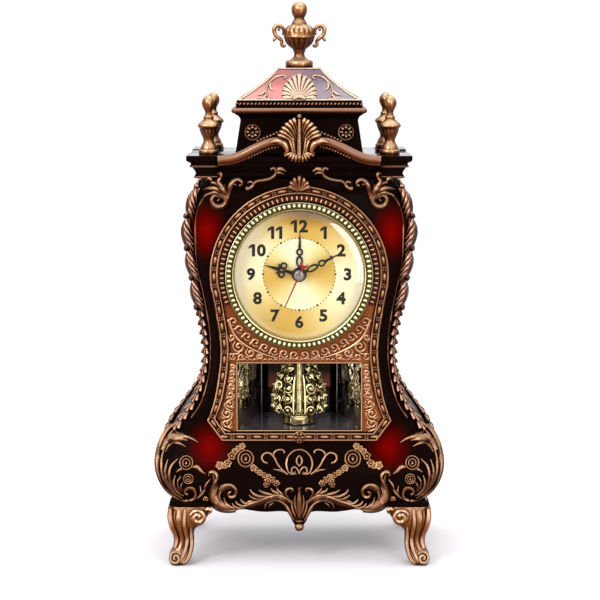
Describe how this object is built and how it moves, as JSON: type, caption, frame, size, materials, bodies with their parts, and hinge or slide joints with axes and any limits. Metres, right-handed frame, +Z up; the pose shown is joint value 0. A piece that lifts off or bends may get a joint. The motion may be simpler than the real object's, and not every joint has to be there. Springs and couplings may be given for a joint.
{
  "type": "table clock",
  "caption": "Ornate table clock in a waisted lacquer case on scroll feet, with a round alarm dial above a mirrored window in which a gilt carousel turns.",
  "frame": {"origin": "on the table under the middle of the clock's bounding box", "axes": "+Z up, the dial faces -Y, +X to the right of a person who looks at the dial"},
  "size_m": [0.2032, 0.117, 0.3887],
  "materials": {
    "lacquer": "moulded plastic under brown-black gloss lacquer with red glow patches",
    "bronze_paint": "moulded plastic under antique bronze-gold metallic paint",
    "copper_paint": "moulded plastic under copper-brown metallic paint, rubbed on the high parts",
    "roof_gloss": "deep red gloss lacquer",
    "pale_gold": "pale greenish gold plated plastic",
    "gilt": "bright gold plated plastic",
    "dial_card": "printed cream dial with a faint sunburst",
    "clear_glass": "clear",
    "mirror": "silvered",
    "black_metal": "black painted stamped metal",
    "red_metal": "red painted stamped metal",
    "black_plastic": "moulded, fine texture",
    "white_plastic": "moulded",
    "brass": "machined",
    "steel": "plain",
    "copper_wire": "wound enamelled copper wire",
    "circuit_green": "fibre board with solder mask"
  },
  "bodies": {
    "case": {"case_shell": "lacquer", "base_plate": "black_plastic", "top_platform": "lacquer", "pediment_rail": "bronze_paint", "crest_leaf": "bronze_paint", "tower_body": "lacquer", "tower_cornice": "bronze_paint", "roof": "roof_gloss", "urn": "bronze_paint", "finial_front_left": "bronze_paint", "finial_front_right": "bronze_paint", "finial_rear_left": "bronze_paint", "finial_rear_right": "bronze_paint", "foot_front_left": "bronze_paint", "foot_front_right": "bronze_paint", "foot_rear_left": "bronze_paint", "foot_rear_right": "bronze_paint", "frame_surround": "copper_paint", "front_panel": "copper_paint", "bezel": "pale_gold", "lens": "clear_glass", "dial_plate": "dial_card", "window_glass": "clear_glass", "mirror_left": "mirror", "mirror_right": "mirror", "mirror_back": "mirror", "chamber_floor": "black_plastic", "chamber_ceiling": "black_plastic", "carousel_motor": "steel", "movement_front_plate": "white_plastic", "movement_rear_cover": "black_plastic", "circuit_board": "circuit_green", "stator": "steel", "coil": "copper_wire", "back_panel": "black_plastic", "battery_upper": "steel", "battery_lower": "steel", "contact_strip_left": "steel", "contact_strip_right": "steel", "buzzer": "black_plastic"},
    "minute": {"minute_wheel": "brass", "minute_hand": "black_metal"},
    "second": {"second_wheel": "brass", "second_hand": "red_metal"},
    "hour": {"hour_wheel": "white_plastic", "hour_hand": "black_metal"},
    "third": {"third_wheel": "white_plastic"},
    "intermediate": {"intermediate_wheel": "white_plastic"},
    "rotor": {"rotor": "steel"},
    "motion": {"motion_wheel": "white_plastic"},
    "time_setting": {"time_knob": "black_plastic"},
    "alarm": {"alarm_wheel": "white_plastic", "alarm_hand": "black_metal"},
    "alarm_setting": {"alarm_knob": "black_plastic"},
    "carousel": {"carousel_post": "gilt", "carousel_scrolls": "gilt", "carousel_gear": "white_plastic"},
    "motor_shaft": {"motor_pinion": "brass"},
    "battery_cover": {"battery_door": "black_plastic"},
    "alarm_slide": {"alarm_switch": "white_plastic"}
  },
  "joints": [
    {"name": "minute_turn", "type": "hinge", "parent": "case", "child": "minute", "pos_m": [0, -0.045, 0.2033], "axis": [0, 1, 0], "continuous": true},
    {"name": "second_turn", "type": "hinge", "parent": "case", "child": "second", "pos_m": [0, -0.045, 0.2033], "axis": [0, 1, 0], "continuous": true},
    {"name": "hour_turn", "type": "hinge", "parent": "case", "child": "hour", "pos_m": [0, -0.045, 0.2033], "axis": [0, 1, 0], "continuous": true},
    {"name": "third_turn", "type": "hinge", "parent": "case", "child": "third", "pos_m": [0, -0.033, 0.2153], "axis": [0, 1, 0], "continuous": true},
    {"name": "intermediate_turn", "type": "hinge", "parent": "case", "child": "intermediate", "pos_m": [-0.0126, -0.03, 0.2033], "axis": [0, 1, 0], "continuous": true},
    {"name": "rotor_turn", "type": "hinge", "parent": "case", "child": "rotor", "pos_m": [-0.01619, -0.03, 0.19343], "axis": [0, 1, 0], "continuous": true},
    {"name": "motion_turn", "type": "hinge", "parent": "case", "child": "motion", "pos_m": [0.0126, -0.036, 0.2033], "axis": [0, 1, 0], "continuous": true},
    {"name": "time_knob_turn", "type": "hinge", "parent": "case", "child": "time_setting", "pos_m": [0.02225, 0.05, 0.1952], "axis": [0, 1, 0], "continuous": true},
    {"name": "alarm_turn", "type": "hinge", "parent": "case", "child": "alarm", "pos_m": [0, -0.044, 0.2033], "axis": [0, 1, 0], "continuous": true},
    {"name": "alarm_knob_turn", "type": "hinge", "parent": "case", "child": "alarm_setting", "pos_m": [0.0065, 0.05, 0.19204], "axis": [0, 1, 0], "continuous": true},
    {"name": "carousel_turn", "type": "hinge", "parent": "case", "child": "carousel", "pos_m": [0, -0.02, 0.1], "axis": [0, 0, 1], "continuous": true},
    {"name": "motor_turn", "type": "hinge", "parent": "case", "child": "motor_shaft", "pos_m": [0, -0.00812, 0.09], "axis": [0, 0, 1], "continuous": true},
    {"name": "battery_door_slide", "type": "slide", "parent": "case", "child": "battery_cover", "axis": [0, 0, 1], "range_m": [0, 0.036]},
    {"name": "alarm_switch_slide", "type": "slide", "parent": "case", "child": "alarm_slide", "axis": [1, 0, 0], "range_m": [0, 0.004]}
  ],
  "couplings": [
    {"joint": "second_turn", "follows": "minute_turn", "ratio": 60},
    {"joint": "hour_turn", "follows": "minute_turn", "ratio": 0.083333},
    {"joint": "third_turn", "follows": "minute_turn", "ratio": -8},
    {"joint": "intermediate_turn", "follows": "minute_turn", "ratio": -300},
    {"joint": "rotor_turn", "follows": "minute_turn", "ratio": 1800},
    {"joint": "motion_turn", "follows": "minute_turn", "ratio": -0.33333},
    {"joint": "time_knob_turn", "follows": "minute_turn", "ratio": 1},
    {"joint": "alarm_knob_turn", "follows": "alarm_turn", "ratio": -4},
    {"joint": "motor_turn", "follows": "carousel_turn", "ratio": -5}
  ]
}
